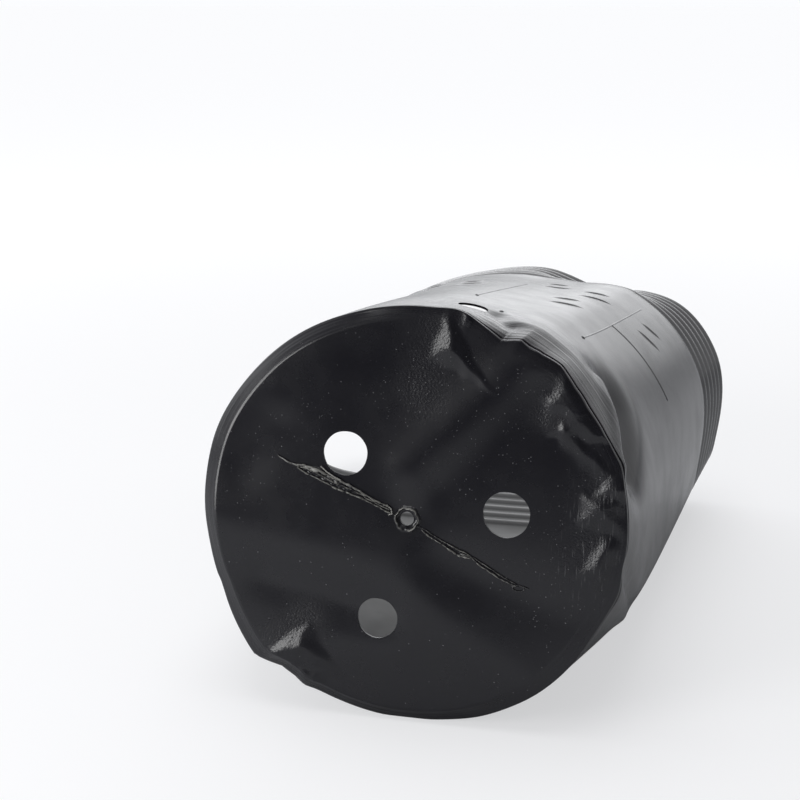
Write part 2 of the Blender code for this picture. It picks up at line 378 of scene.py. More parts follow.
def laid_down(points, dented=True):
    """Places of moulded points once the soft bag lies on its side.

    Each section keeps its girth. Its height falls evenly from the base to the mouth, its
    widest level sinks below the middle, and the half above and the half below are joined
    ellipses, the lower one squarer, most of all on the left at the mouth. What lies inside
    the crests of the wall, or is knocked in, sinks square to the section. The base plane
    leans back, the top sways to +X towards the mouth, and what would reach below the table
    is pressed flat."""
    along = points[:, 1]
    radius = np.hypot(points[:, 0], points[:, 2])
    angle = np.arctan2(points[:, 2], points[:, 0])
    share = np.clip(along / LENGTH, 0, 1)
    crest = crest_radius(along)
    upright = math.cos(BASE_LEAN)
    height = 2 * crest * (upright - (upright - MOUTH_HEIGHT / (2 * MOUTH_RADIUS)) * share)
    sag = 1 - np.exp(-(np.clip(along, 0, None) / BELLY_DROP_LENGTH) ** BELLY_DROP_POWER)
    below = height / 2 * (1 - BELLY_DROP * sag)
    above = height - below
    diagonals = 2 * math.hypot(1, 1) * crest
    upper_diagonal = (diagonals ** 2 + above ** 2 - below ** 2) / (2 * diagonals)
    half_width = np.sqrt(upper_diagonal ** 2 - above ** 2)

    across = np.cos(angle)
    rise = np.sin(angle)
    reach = np.where(rise < 0, below, above)
    flare = np.where(across < 0, share ** LEFT_FLARE_POWER, 0)
    squareness = BELLY_SQUARENESS * sag + LEFT_SQUARENESS * flare
    power = 2 / np.where(rise < 0, 2 + squareness, 2)
    on_wall = along >= BEVEL_DEPTH
    scale = np.where(on_wall, 1, radius / crest)
    sunk = np.where(on_wall, crest - radius, 0)
    outwards = np.zeros_like(along)
    if dented:
        sunk = sunk + inward_knock(radius, along, angle)
        sunk = sunk - wall_height(along, angle)
        outwards = base_height(points[:, 0], points[:, 2]) * bell(np.clip(along, 0, None), 0.006)
        outwards = outwards + pressed_edge(radius, along, angle)
    facing = np.hypot(across / half_width, rise / reach)
    x = half_width * scale * np.sign(across) * np.abs(across) ** power
    x = x * (1 + LEFT_FLARE * flare) - sunk * across / half_width / facing
    z = reach * scale * np.sign(rise) * np.abs(rise) ** power
    z = z - sunk * rise / reach / facing + below
    x = x + MOUTH_SWAY * share * z / height
    z = z - FLAT_DEPTH
    y = along - outwards + z * np.tan(BASE_LEAN * (1 - (1 - LEAN_LEFT_AT_MOUTH) * share))
    return np.stack((x, y, np.maximum(z, 0)), axis=-1) - middle


def spaced(*runs):
    """Rising places made of runs of even steps, each given as its start, end and steps."""
    parts = [np.linspace(start, end, steps, endpoint=False) for start, end, steps in runs]
    return np.concatenate(parts + [[runs[-1][1]]])


def half_section(base_runs, bevel_steps, wall_runs, steps_per_rib, rim_groove):
    """Half section of a skin as (radius, along): flat from the blow hole to the bevel, the
    straight bevel, a small round lip, the wall with a fine groove behind the lip, and the
    collar as a cosine wave."""
    flat = spaced(*base_runs)
    straight = np.linspace(0, LIP_START, bevel_steps + 1)[1:]
    bevel_radius = flat[-1] + BEVEL_WIDTH * straight
    bevel_along = BEVEL_DEPTH * straight
    turn = np.linspace(0, 1, bevel_steps // 2 + 2)[1:]
    lip_radius = (1 - turn) ** 2 * bevel_radius[-1] + (1 - (1 - turn) ** 2) * BASE_RADIUS
    lip_along = (
        (1 - turn) ** 2 * bevel_along[-1]
        + (1 - (1 - turn) ** 2) * BEVEL_DEPTH
        + turn ** 2 * LIP_LENGTH
    )
    wall = spaced(*wall_runs)[1:]
    wall_radius = crest_radius(wall) - rim_groove * bell(wall - RIM_GROOVE_PLACE, RIM_GROOVE_SPREAD)
    collar = np.linspace(COLLAR_START, LENGTH, RIB_COUNT * steps_per_rib + 1)[1:]
    rib_turns = (collar - COLLAR_START) / (COLLAR_LENGTH / RIB_COUNT) * 2 * math.pi
    collar_radius = crest_radius(collar) - GROOVE_DEPTH * (0.5 - 0.5 * np.cos(rib_turns))
    radius = np.concatenate((flat, bevel_radius, lip_radius, wall_radius, collar_radius))
    along = np.concatenate((np.zeros_like(flat), bevel_along, lip_along, wall, collar))
    return radius, along


def closed_section():
    """Section of the shell all round: the finely stepped outer skin, then a coarser inner one
    a wall's thickness inside it, back from the mouth to the blow hole."""
    flat_radius = BASE_RADIUS - BEVEL_WIDTH
    groove_start = RIM_GROOVE_PLACE - 2 * RIM_GROOVE_SPREAD
    groove_end = RIM_GROOVE_PLACE + 2 * RIM_GROOVE_SPREAD
    radius, along = half_section(
        ((BLOW_HOLE_RADIUS, 0.009, 12), (0.009, 0.034, 17), (0.034, flat_radius, 52)),
        7,
        (
            (BEVEL_DEPTH + LIP_LENGTH, groove_start, 2),
            (groove_start, groove_end, 8),
            (groove_end, 0.030, 26),
            (0.030, COLLAR_START, 38),
        ),
        7,
        RIM_GROOVE_DEPTH,
    )
    inner_radius, inner_along = half_section(
        ((BLOW_HOLE_RADIUS, 0.034, 6), (0.034, flat_radius, 20)),
        2,
        ((BEVEL_DEPTH + LIP_LENGTH, 0.030, 9), (0.030, COLLAR_START, 12)),
        5,
        0.0,
    )
    step = np.stack((np.gradient(inner_radius), np.gradient(inner_along)))
    step = step / np.hypot(*step)
    inner_radius = (inner_radius - step[1] * WALL)[::-1]
    inner_along = (inner_along + step[0] * WALL)[::-1]
    return np.concatenate((radius, inner_radius)), np.concatenate((along, inner_along))


def angles_around():
    """Angles of the columns, closer together on the dented arcs: the count of columns up to
    an angle is the running sum of a density."""
    fine = np.linspace(0, 2 * math.pi, 3601)
    density = np.ones_like(fine)
    for centre, spread, extra in FINE_ARCS:
        density += extra * bell(degrees_apart(fine, centre), spread)
    count = np.concatenate(([0], np.cumsum((density[1:] + density[:-1]) / 2)))
    return np.interp(np.arange(AROUND) / AROUND * count[-1], count, fine)


def grid_faces(rows, columns, closed_rows=True):
    """Four-sided faces between the points of a grid whose columns close on themselves, and
    whose rows may too."""
    row, column = np.meshgrid(
        np.arange(rows if closed_rows else rows - 1), np.arange(columns), indexing="ij"
    )
    next_row = (row + 1) % rows
    next_column = (column + 1) % columns
    corners = (
        row * columns + column,
        row * columns + next_column,
        next_row * columns + next_column,
        next_row * columns + column,
    )
    return np.stack(corners, axis=-1).reshape(-1, 4).tolist()


def new_object(name, points, faces):
    """Object with a closed mesh of the given points and faces, all facing outwards."""
    mesh = bpy.data.meshes.new(name)
    mesh.from_pydata(np.asarray(points).tolist(), [], faces)
    thing = bpy.data.objects.new(name, mesh)
    bpy.context.scene.collection.objects.link(thing)
    return thing


def face_outwards(mesh):
    """Turns all faces of a closed mesh to point out of it."""
    work = bmesh.new()
    work.from_mesh(mesh)
    bmesh.ops.recalc_face_normals(work, faces=work.faces)
    work.to_mesh(mesh)
    work.free()


def prism(centre, across, up, through, radius, half_depth, sides=96):
    """Points and faces of a round punch: a ring of points with a slightly rough outline, once
    on either side of the surface, closed by a side wall and two caps."""
    turn = np.arange(sides) / sides * 2 * math.pi
    rough = radius * (1 + 0.006 * np.sin(3 * turn + radius * 900) + 0.004 * np.sin(7 * turn))
    ring = np.outer(rough * np.cos(turn), across) + np.outer(rough * np.sin(turn), up)
    points = np.concatenate((
        centre + ring - half_depth * np.array(through),
        centre + ring + half_depth * np.array(through),
    ))
    number = np.arange(sides)
    after = (number + 1) % sides
    faces = np.stack((number, number + sides, after + sides, after), axis=-1).tolist()
    faces.append(number.tolist())
    faces.append((number[::-1] + sides).tolist())
    return points, faces


def joined(pieces):
    """Points and faces of several meshes as one."""
    points = []
    faces = []
    for piece_points, piece_faces in pieces:
        first = sum(len(part) for part in points)
        points.append(piece_points)
        faces += [[corner + first for corner in face] for face in piece_faces]
    return np.concatenate(points), faces


def punches():
    """All the drainage holes as one object of separate prisms."""
    prisms = []
    for angle, distance, diameter in BASE_HOLES:
        turn = math.radians(angle)
        centre = np.array((distance * math.cos(turn), 0, distance * math.sin(turn)))
        prisms.append(prism(centre, (1, 0, 0), (0, 0, 1), (0, 1, 0), diameter / 2, 0.005))
    for angle in SIDE_HOLE_ANGLES:
        turn = math.radians(angle)
        out = np.array((math.cos(turn), 0, math.sin(turn)))
        side = (-math.sin(turn), 0, math.cos(turn))
        centre = crest_radius(SIDE_HOLE_FROM_BASE) * out + (0, SIDE_HOLE_FROM_BASE, 0)
        prisms.append(prism(centre, side, (0, 1, 0), -out, SIDE_HOLE_DIAMETER / 2, 0.006))
    return new_object("punches", *joined(prisms))


def wear(x, up, places):
    """Share of one kind of wear at each point of the base: the highest of the bells around
    its places."""
    share = np.zeros_like(x)
    for start, end, spread in places:
        share = np.maximum(share, bell(to_segment(x, up, start, end), spread))
    return share


def settle(thing, sharp_degrees):
    """Keeps the moulded places of a mesh and its wear as attributes, lays the mesh down, and
    shades it smooth between its sharp edges."""
    mesh = thing.data
    moulded = np.empty(len(mesh.vertices) * 3)
    mesh.vertices.foreach_get("co", moulded)
    points = moulded.reshape(-1, 3)
    kinds = [wear(points[:, 0], points[:, 2], places) for places in (RUBBED, DUSTY, STREAKED)]
    worn = np.stack(kinds, axis=-1) * bell(points[:, 1:2], 0.004)
    for name, values in (("moulded", moulded), ("worn", worn.ravel())):
        mesh.attributes.new(name, "FLOAT_VECTOR", "POINT").data.foreach_set("vector", values)
    mesh.vertices.foreach_set("co", laid_down(points).ravel())
    mesh.shade_smooth()
    mesh.set_sharp_from_angle(angle=math.radians(sharp_degrees))
    mesh.update()


def punched_shell():
    """The moulded shell with its holes punched out."""
    radius, along = closed_section()
    angles = angles_around()
    points = np.stack((
        np.outer(radius, np.cos(angles)),
        np.repeat(along[:, None], AROUND, axis=1),
        np.outer(radius, np.sin(angles)),
    ), axis=-1).reshape(-1, 3)
    blank = new_object("blank", points, grid_faces(len(radius), AROUND))
    inside = np.repeat((along > WALL / 2) & (radius < crest_radius(along) - WALL / 2), AROUND)
    inside[:radius.argmax() * AROUND] = False
    blank.data.attributes.new("inside", "FLOAT", "POINT").data.foreach_set("value", inside)
    face_outwards(blank.data)
    tools = punches()
    face_outwards(tools.data)
    cut = blank.modifiers.new("holes", "BOOLEAN")
    cut.operation = "DIFFERENCE"
    cut.solver = "EXACT"
    cut.object = tools
    depsgraph = bpy.context.evaluated_depsgraph_get()
    mesh = bpy.data.meshes.new_from_object(blank.evaluated_get(depsgraph))
    bpy.data.objects.remove(blank)
    bpy.data.objects.remove(tools)
    shell = bpy.data.objects.new("bag_shell", mesh)
    mesh.name = "bag_shell"
    bpy.context.scene.collection.objects.link(shell)
    return shell


middle = np.zeros(3)
plain_along, plain_angle = np.meshgrid(
    np.linspace(BEVEL_DEPTH, LENGTH, 400), np.linspace(-math.pi, math.pi, 721), indexing="ij"
)
plain = laid_down(np.stack((
    (crest_radius(plain_along) * np.cos(plain_angle)).ravel(),
    plain_along.ravel(),
    (crest_radius(plain_along) * np.sin(plain_angle)).ravel(),
), axis=-1), dented=False)
middle = np.array(((plain[:, 0].min() + plain[:, 0].max()) / 2, -cad_box[0].y, 0))

bag_shell = punched_shell()
settle(bag_shell, 40)


def add_node(tree, kind, links=(), **values):
    """Shader node with its own settings, and its inputs set or linked by name or number."""
    node = tree.nodes.new(kind)
    for name, value in values.items():
        setattr(node, name, value)
    for socket, value in links:
        if isinstance(value, bpy.types.NodeSocket):
            tree.links.new(value, node.inputs[socket])
        else:
            node.inputs[socket].default_value = value
    return node


def number_node(tree, operation, first, second=0.0, third=0.0):
    """Result of one sum on numbers."""
    links = ((0, first), (1, second), (2, third))
    return add_node(tree, "ShaderNodeMath", links, operation=operation).outputs[0]


def ranged(tree, value, low, high, low_out=0.0, high_out=1.0):
    """A value carried smoothly from one range to another, and held at its ends."""
    links = (
        ("Value", value),
        ("From Min", low),
        ("From Max", high),
        ("To Min", low_out),
        ("To Max", high_out),
    )
    node = add_node(tree, "ShaderNodeMapRange", links, interpolation_type="SMOOTHSTEP", clamp=True)
    return node.outputs["Result"]


def stretched(tree, vector, scale):
    """A vector times a scale for each axis."""
    links = ((0, vector), (1, scale))
    return add_node(tree, "ShaderNodeVectorMath", links, operation="MULTIPLY").outputs[0]


def noise(tree, vector, scale, detail=3.0, roughness=0.5):
    """Cloud noise from 0 to 1."""
    links = (("Vector", vector), ("Scale", scale), ("Detail", detail), ("Roughness", roughness))
    return add_node(tree, "ShaderNodeTexNoise", links).outputs["Fac"]


def parts_of(tree, vector):
    """The three numbers of a vector."""
    return add_node(tree, "ShaderNodeSeparateXYZ", ((0, vector),)).outputs


def mixed(tree, share, first, second):
    """Colour between two colours."""
    links = (("Factor", share), (6, first), (7, second))
    return add_node(tree, "ShaderNodeMix", links, data_type="RGBA").outputs[2]


def black_polyethylene():
    """Black polyethylene: a satin skin with a fine grain, fine lines left by the mould along
    the edge of the base, a pebbly skin where it is rubbed, white dust, and a pale grey on
    the thin lips of the weld and the blow ring, partly whitened plastic and partly a painted
    highlight that stands in for the glints on them."""
    material = bpy.data.materials.new("black_polyethylene")
    material.use_nodes = True
    tree = material.node_tree
    shader = tree.nodes["Principled BSDF"]
    moulded = add_node(tree, "ShaderNodeAttribute", attribute_name="moulded").outputs["Vector"]
    worn = add_node(tree, "ShaderNodeAttribute", attribute_name="worn").outputs["Vector"]
    thin = add_node(tree, "ShaderNodeAttribute", attribute_name="thin").outputs["Fac"]
    inner = add_node(tree, "ShaderNodeAttribute", attribute_name="inside").outputs["Fac"]
    rubbed, dusty, streaked = parts_of(tree, worn)
    along = parts_of(tree, moulded)[1]
    on_base = ranged(tree, along, 0.0035, 0.0010)
    near_base = ranged(tree, along, 0.040, 0.008)

    cells = add_node(
        tree, "ShaderNodeTexVoronoi", (("Vector", moulded), ("Scale", 1700.0), ("Randomness", 1.0))
    )
    luck = add_node(tree, "ShaderNodeSeparateColor", ((0, cells.outputs["Color"]),))
    dust_cloud = ranged(tree, noise(tree, moulded, 260.0, 3.0, 0.6), 0.40, 0.72)
    amount = number_node(tree, "MAXIMUM", dusty, number_node(tree, "MULTIPLY", rubbed, 0.6))
    amount = number_node(tree, "MULTIPLY", amount, dust_cloud)
    chance = ranged(tree, amount, 0.0, 0.8, 0.97, 0.30)
    picked = number_node(tree, "GREATER_THAN", luck.outputs["Red"], chance)
    size = number_node(tree, "MULTIPLY_ADD", luck.outputs["Green"], 0.14, 0.10)
    inside = number_node(tree, "LESS_THAN", cells.outputs["Distance"], size)
    speck = number_node(tree, "MULTIPLY", number_node(tree, "MULTIPLY", picked, inside), on_base)
    speck = number_node(tree, "MULTIPLY", speck, luck.outputs["Blue"])

    streak_place = stretched(tree, moulded, (1.0, 1.0, 0.08))
    streaks = ranged(tree, noise(tree, streak_place, 1500.0, 4.0, 0.6), 0.56, 0.72)
    streaks = number_node(tree, "MULTIPLY", streaks, streaked)

    dust = number_node(tree, "MULTIPLY", speck, 0.46)
    dust = number_node(tree, "MULTIPLY_ADD", streaks, 0.16, dust)
    colour = mixed(tree, dust, (0.0058, 0.0056, 0.0086, 1), (0.50, 0.50, 0.52, 1))
    # Pale grey on the thin lips: partly whitened plastic, partly a painted highlight for their glints.
    colour = mixed(tree, thin, colour, (0.34, 0.335, 0.315, 1))
    tree.links.new(colour, shader.inputs["Base Color"])

    haze = noise(tree, moulded, 60.0, 5.0, 0.6)
    rough = ranged(tree, haze, 0.35, 0.70, 0.20, 0.26)
    rough = number_node(tree, "MULTIPLY_ADD", on_base, 0.04, rough)
    rough = number_node(tree, "MULTIPLY_ADD", rubbed, 0.06, rough)
    rough = number_node(tree, "MULTIPLY_ADD", inner, 0.20, rough)
    tree.links.new(rough, shader.inputs["Roughness"])

    grain = noise(tree, moulded, 2600.0, 2.0, 0.5)
    pebbles = noise(tree, moulded, 1500.0, 2.0, 0.5)
    line_place = stretched(tree, moulded, (8.0, 640.0, 8.0))
    lines = noise(tree, line_place, 1.0, 3.0, 0.7)
    line_depth = number_node(tree, "MULTIPLY_ADD", near_base, 0.00022, 0.000012)
    pebble_depth = number_node(tree, "MULTIPLY_ADD", rubbed, 0.00016, 0.000008)
    relief = number_node(tree, "MULTIPLY", grain, 0.000003)
    relief = number_node(tree, "MULTIPLY_ADD", pebbles, pebble_depth, relief)
    relief = number_node(tree, "MULTIPLY_ADD", lines, line_depth, relief)
    relief = number_node(tree, "MULTIPLY_ADD", streaks, 0.00005, relief)
    bump = add_node(
        tree, "ShaderNodeBump", (("Height", relief), ("Strength", 1.0), ("Distance", 1.0))
    )
    tree.links.new(bump.outputs["Normal"], shader.inputs["Normal"])
    shader.inputs["IOR"].default_value = 1.51
    return material


plastic = black_polyethylene()
bag_shell.data.materials.clear()
bag_shell.data.materials.append(plastic)
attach(bag_shell, "root")
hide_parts("seedling_bag")


# Pinch weld
# The two halves of the mould pinch the tube of soft plastic shut across the base. That leaves
# a raised seam of thin lips, torn and folded over where the waste was pulled off.
# Edges of the seam as (right, upper edge, lower edge)
WELD_LEFT = (
    (-0.0409, 0.0171, 0.0169),
    (-0.0374, 0.0153, 0.0147),
    (-0.0348, 0.0146, 0.0137),
    (-0.0326, 0.0148, 0.0123),
    (-0.0301, 0.0143, 0.0110),
    (-0.0276, 0.0138, 0.0100),
    (-0.0252, 0.0124, 0.0089),
    (-0.0225, 0.0113, 0.0076),
    (-0.0181, 0.0097, 0.0064),
    (-0.0142, 0.0076, 0.0052),
    (-0.0112, 0.0060, 0.0041),
    (-0.0080, 0.0046, 0.0027),
    (-0.0059, 0.0039, 0.0015),
    (-0.0042, 0.0024, 0.0012),
)
WELD_RIGHT = (
    (0.0024, -0.0018, -0.0020),
    (0.0040, -0.0020, -0.0024),
    (0.0056, -0.0026, -0.0040),
    (0.0073, -0.0036, -0.0052),
    (0.0109, -0.0055, -0.0071),
    (0.0136, -0.0067, -0.0087),
    (0.0158, -0.0079, -0.0102),
    (0.0180, -0.0087, -0.0106),
    (0.0201, -0.0098, -0.0109),
    (0.0226, -0.0113, -0.0129),
    (0.0254, -0.0128, -0.0144),
    (0.0286, -0.0147, -0.0163),
    (0.0318, -0.0164, -0.0178),
    (0.0345, -0.0177, -0.0186),
)
# Lips of each part of the seam: place across it from -1 to 1, height, half thickness
LIPS_LEFT = ((-0.80, 0.0009, 0.00022), (0.05, 0.0006, 0.00018), (0.80, 0.0011, 0.00024))
LIPS_RIGHT = ((-0.74, 0.0008, 0.00024), (0.74, 0.0007, 0.00018))
# Flaps folded over flat: middle, half length, place across the seam, half width there, height
FLAPS_LEFT = ((-0.0300, 0.0030, 0.45, 0.40, 0.0008), (-0.0225, 0.0026, 0.20, 0.45, 0.0005))
FLAPS_RIGHT = ((0.0185, 0.0030, -0.10, 0.50, 0.0005),)
WELD_STEP = 0.00015
WELD_ACROSS = 36
WELD_FLOOR = 0.00018
SKIRT = 0.00035
CURL_CENTRE = (0.0343, -0.0187)
CURL_RADII = (0.0017, 0.0009)


def uneven(places, step, size, seed):
    """Ragged line: random heights at even steps, joined straight."""
    knots = np.arange(places.min(), places.max() + 2 * step, step)
    heights = np.random.default_rng(seed).uniform(-size, size, len(knots))
    return np.interp(places, knots, heights)


def bar(centres, sides, outs, section, closed=False):
    """Points and faces of a bar: each of its closed sections is a ring of (side, out) offsets
    from its centre. Its ends are capped, unless it closes on itself."""
    points = (
        centres[:, None, :]
        + section[..., 0, None] * sides[:, None, :]
        + section[..., 1, None] * outs[:, None, :]
    )
    rows, ring = points.shape[:2]
    faces = grid_faces(rows, ring, closed)
    if not closed:
        faces.append(list(range(ring)))
        faces.append(list(range((rows - 1) * ring, rows * ring)))
    return points.reshape(-1, 3), faces


def seam(edges, lips, flaps, seed):
    """One part of the weld as a bar along +X. Between its lower and upper edge its top is a
    low floor with the lips as narrow bells, whose places and heights are uneven, the flaps
    as broad square bells, and a crumpled floor between them. Its foot is sunk into the
    base."""
    right, upper, lower = np.transpose(edges)
    station = np.arange(right[0], right[-1], WELD_STEP)
    high = np.interp(station, right, upper) + uneven(station, 0.0011, 0.00012, seed)
    low = np.interp(station, right, lower) + uneven(station, 0.0013, 0.00012, seed + 1)
    half = np.maximum((high - low) / 2, 0.00012)
    across = np.linspace(-1, 1, WELD_ACROSS)
    ends = np.clip(np.minimum(station - right[0], right[-1] - station) / 0.0012, 0.05, 1)
    broad = np.clip(half / 0.0010, 0.35, 1)
    height = np.zeros((len(station), WELD_ACROSS)) + WELD_FLOOR
    for number, (place, top, thickness) in enumerate(lips):
        wander = place + uneven(station, 0.0011, 0.11, seed + 10 * number)[:, None]
        lift = top * (1 + uneven(station, 0.0005, 0.50, seed + 10 * number + 5)) * broad
        height += lift[:, None] * bell(across - wander, thickness / half[:, None], 1.6)
    for centre, half_length, place, half_width, top in flaps:
        lift = top * (1 + uneven(station, 0.0007, 0.25, seed + 40))
        flap = bell(station - centre, half_length, 4)[:, None] * bell(across - place, half_width, 4)
        height = np.maximum(height, lift[:, None] * flap)
    rough = uneven(station, 0.0005, 0.00016, seed + 50)[:, None] * np.cos(across * 9 + 1)
    rough += uneven(station, 0.0009, 0.00016, seed + 60)[:, None] * np.sin(across * 5)
    height += rough * np.clip(half / 0.0014, 0, 1)[:, None]
    height = np.maximum(height, 0.00005) * ends[:, None] * (1 - np.abs(across) ** 12)
    section = np.zeros((len(station), WELD_ACROSS + 2, 2))
    section[:, :WELD_ACROSS, 0] = across * half[:, None]
    section[:, :WELD_ACROSS, 1] = height
    section[:, WELD_ACROSS, 0] = half * 0.9
    section[:, WELD_ACROSS + 1, 0] = -half * 0.9
    section[:, WELD_ACROSS:, 1] = -SKIRT
    centres = np.stack((station, np.zeros_like(station), (high + low) / 2), axis=-1)
    sides = np.tile((0.0, 0.0, 1.0), (len(station), 1))
    outs = np.tile((0.0, -1.0, 0.0), (len(station), 1))
    return bar(centres, sides, outs, section)


def thread(centres, outs, thickness, lift, closed=False):
    """Thin round thread along a path on the surface, lifted off it; it swells and thins a
    little along its way."""
    ring = np.arange(8) / 8 * 2 * math.pi
    ahead = np.gradient(centres, axis=0)
    ahead = ahead / np.linalg.norm(ahead, axis=1, keepdims=True)
    sides = np.cross(ahead, outs)
    swelling = 1 + 0.25 * np.sin(np.arange(len(centres)) * 1.7)
    section = np.stack((
        np.outer(thickness * swelling, np.cos(ring)),
        np.outer(thickness * swelling, np.sin(ring)) + lift,
    ), axis=-1)
    return bar(centres, sides, outs, section, closed)


def on_base_path(points, steps):
    """Smooth path on the base through (right, up) points, as places in space."""
    points = np.array(points)
    knots = np.arange(len(points))
    fine = np.linspace(0, len(points) - 1, steps)
    right = np.interp(fine, knots, points[:, 0])
    up = np.interp(fine, knots, points[:, 1])
    return np.stack((right, np.zeros(steps), up), axis=-1)


def finish_raised(name, points, faces, thin_height):
    """Object for raised plastic on the bag, laid down with the bag. Where it stands up thin it
    is marked to be painted pale: partly whitened plastic, partly a painted highlight for the
    glints on its thin edges."""
    thing = new_object(name, points, faces)
    face_outwards(thing.data)
    height = -np.asarray(points)[:, 1]
    # Mask of the pale grey on the thin tops: whitened plastic and a painted highlight.
    thin = np.clip((height - thin_height) / thin_height, 0, 1)
    thing.data.attributes.new("thin", "FLOAT", "POINT").data.foreach_set("value", thin)
    settle(thing, 45)
    thing.data.materials.append(plastic)
    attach(thing, "root")
    return thing


curl_turn = np.arange(40) / 40 * 2 * math.pi
curl_path = np.stack((
    CURL_CENTRE[0] + CURL_RADII[0] * np.cos(curl_turn),
    np.zeros(40),
    CURL_CENTRE[1] + CURL_RADII[1] * np.sin(curl_turn),
), axis=-1)
out_of_base = np.array((0.0, -1.0, 0.0))
curl = thread(curl_path, np.tile(out_of_base, (40, 1)), 0.00018, 0.00025, closed=True)
tail_path = on_base_path(((0.0350, -0.0179), (0.0362, -0.0182), (0.0374, -0.0186)), 14)
tail = thread(tail_path, np.tile(out_of_base, (14, 1)), 0.00016, 0.0003)
hook_path = on_base_path(((-0.0062, 0.0040), (-0.0048, 0.0029), (-0.0045, 0.0014), (-0.0056, 0.0010)), 24)
hook = thread(hook_path, np.tile(out_of_base, (24, 1)), 0.00020, 0.0006)
flash_path = on_base_path(
    ((-0.0268, 0.0145), (-0.0248, 0.0128), (-0.0222, 0.0113), (-0.0205, 0.0106)), 30
)
flash = thread(flash_path, np.tile(out_of_base, (30, 1)), 0.00018, 0.0008)
finish_raised("pinch_weld", *joined((
    seam(WELD_LEFT, LIPS_LEFT, FLAPS_LEFT, 3),
    seam(WELD_RIGHT, LIPS_RIGHT, FLAPS_RIGHT, 8),
    curl,
    tail,
    hook,
    flash,
)), 0.0004)


# Blow ring
# The air pin leaves a hole in the middle of the base, with a thin torn collar of plastic
# around it. The collar is roughly six-sided, and a lump of waste hangs at its bottom.
RING_RADIUS = 0.0034
RING_HEIGHT = 0.0011
RING_AROUND = 144


def blow_ring():
    """Bar that closes on itself around the hole. Its section is a thin upright lip between an
    outer foot and an inner slope down to the hole, both sunk into the base. The lip's radius
    swings six times around, and its radius and height are uneven."""
    turn = np.arange(RING_AROUND) / RING_AROUND * 2 * math.pi
    wrapped = np.minimum(turn, 2 * math.pi - turn)
    radius = RING_RADIUS * (1 + 0.035 * np.cos(6 * turn + 0.5)) + uneven(wrapped, 0.16, 0.00010, 21)
    lump = bell(np.degrees(np.angle(np.exp(1j * (turn + 1.75)))), 32)
    height = RING_HEIGHT * (1 + uneven(wrapped, 0.22, 0.30, 22)) * (1 - 0.45 * lump)
    # Offsets from the lip's middle: side, share of the lip's height, share of a fixed sink
    outline = np.array((
        (0.00105, 0.00, -1.0),
        (0.00060, 0.02, 0.15),
        (0.00028, 0.30, 0.00),
        (0.00015, 0.85, 0.00),
        (0.00000, 1.00, 0.00),
        (-0.00015, 0.85, 0.00),
        (-0.00026, 0.30, 0.00),
        (-0.00055, 0.02, 0.10),
        (-0.00095, 0.00, 0.05),
        (-0.00100, 0.00, -1.0),
    ))
    section = np.empty((RING_AROUND, len(outline), 2))
    section[..., 0] = outline[:, 0] * (1 + 0.35 * lump[:, None])
    section[..., 0] = np.maximum(section[..., 0], (BLOW_HOLE_RADIUS - radius)[:, None])
    section[..., 1] = height[:, None] * outline[:, 1] + SKIRT * outline[:, 2]
    section[:, 6:9, 1] += 0.0004 * lump[:, None]
    sides = np.stack((np.cos(turn), np.zeros_like(turn), np.sin(turn)), axis=-1)
    centres = sides * radius[:, None]
    return bar(centres, sides, np.tile(out_of_base, (RING_AROUND, 1)), section, closed=True)


finish_raised("blow_ring", *blow_ring(), 0.0006)


# Mould marks
# The mould's inserts leave thin raised lines on the wall, and the ends of its pins leave dots.
# Around the lines stand short plain bars in pairs, which give a grip on the smooth wall.
LINE_HALF_WIDTH = 0.00025
LINE_HEIGHT = 0.00016
# Ends of each line as (degrees around, distance from the base)
WALL_LINES = (
    ((83.3, 0.052), (81.4, 0.125)),
    ((53.6, 0.049), (52.9, 0.150)),
    ((53.2, 0.095), (30.0, 0.105)),
    ((114.0, 0.070), (114.0, 0.150)),
    ((114.0, 0.070), (138.0, 0.070)),
)
PIN_DOTS = ((83.3, 0.0512), (53.6, 0.0478), (72.0, 0.0272))
GRIP_LENGTH = 0.0105
GRIP_WIDTH = 0.0034
GRIP_HEIGHT = 0.00034
# Each pair of grips: degrees around and distance from the base of the lower one, and slant
GRIP_PAIRS = (
    (65.0, 0.084, -0.80),
    (73.5, 0.130, -0.50),
    (62.0, 0.118, -0.80),
    (45.0, 0.124, -0.80),
    (106.0, 0.114, -0.50),
    (94.0, 0.104, -0.50),
    (124.0, 0.104, -0.60),
)
GRIP_PAIR_STEP = (1.6, 0.0125)


def on_wall(angle, along):
    """Places on the moulded wall, and the directions around it, along it and out of it."""
    out = np.stack((np.cos(angle), np.zeros_like(angle), np.sin(angle)), axis=-1)
    around = np.stack((-np.sin(angle), np.zeros_like(angle), np.cos(angle)), axis=-1)
    places = crest_radius(along)[..., None] * out
    places[..., 1] += along
    return places, around, np.broadcast_to((0.0, 1.0, 0.0), out.shape), out


def wall_line(start, end):
    """Thin domed line on the wall between two places, with its foot sunk into the wall."""
    steps = 90
    angle = np.radians(np.linspace(start[0], end[0], steps))
    along = np.linspace(start[1], end[1], steps)
    centres, around, onward, out = on_wall(angle, along)
    ahead = np.gradient(centres, axis=0)
    sides = np.cross(ahead / np.linalg.norm(ahead, axis=1, keepdims=True), out)
    turn = np.linspace(0, math.pi, 7)
    ring = np.concatenate((
        np.stack((LINE_HALF_WIDTH * np.cos(turn), LINE_HEIGHT * np.sin(turn)), axis=-1),
        ((-LINE_HALF_WIDTH, -SKIRT), (LINE_HALF_WIDTH, -SKIRT)),
    ))
    return bar(centres, sides, out, np.broadcast_to(ring, (steps, len(ring), 2)))


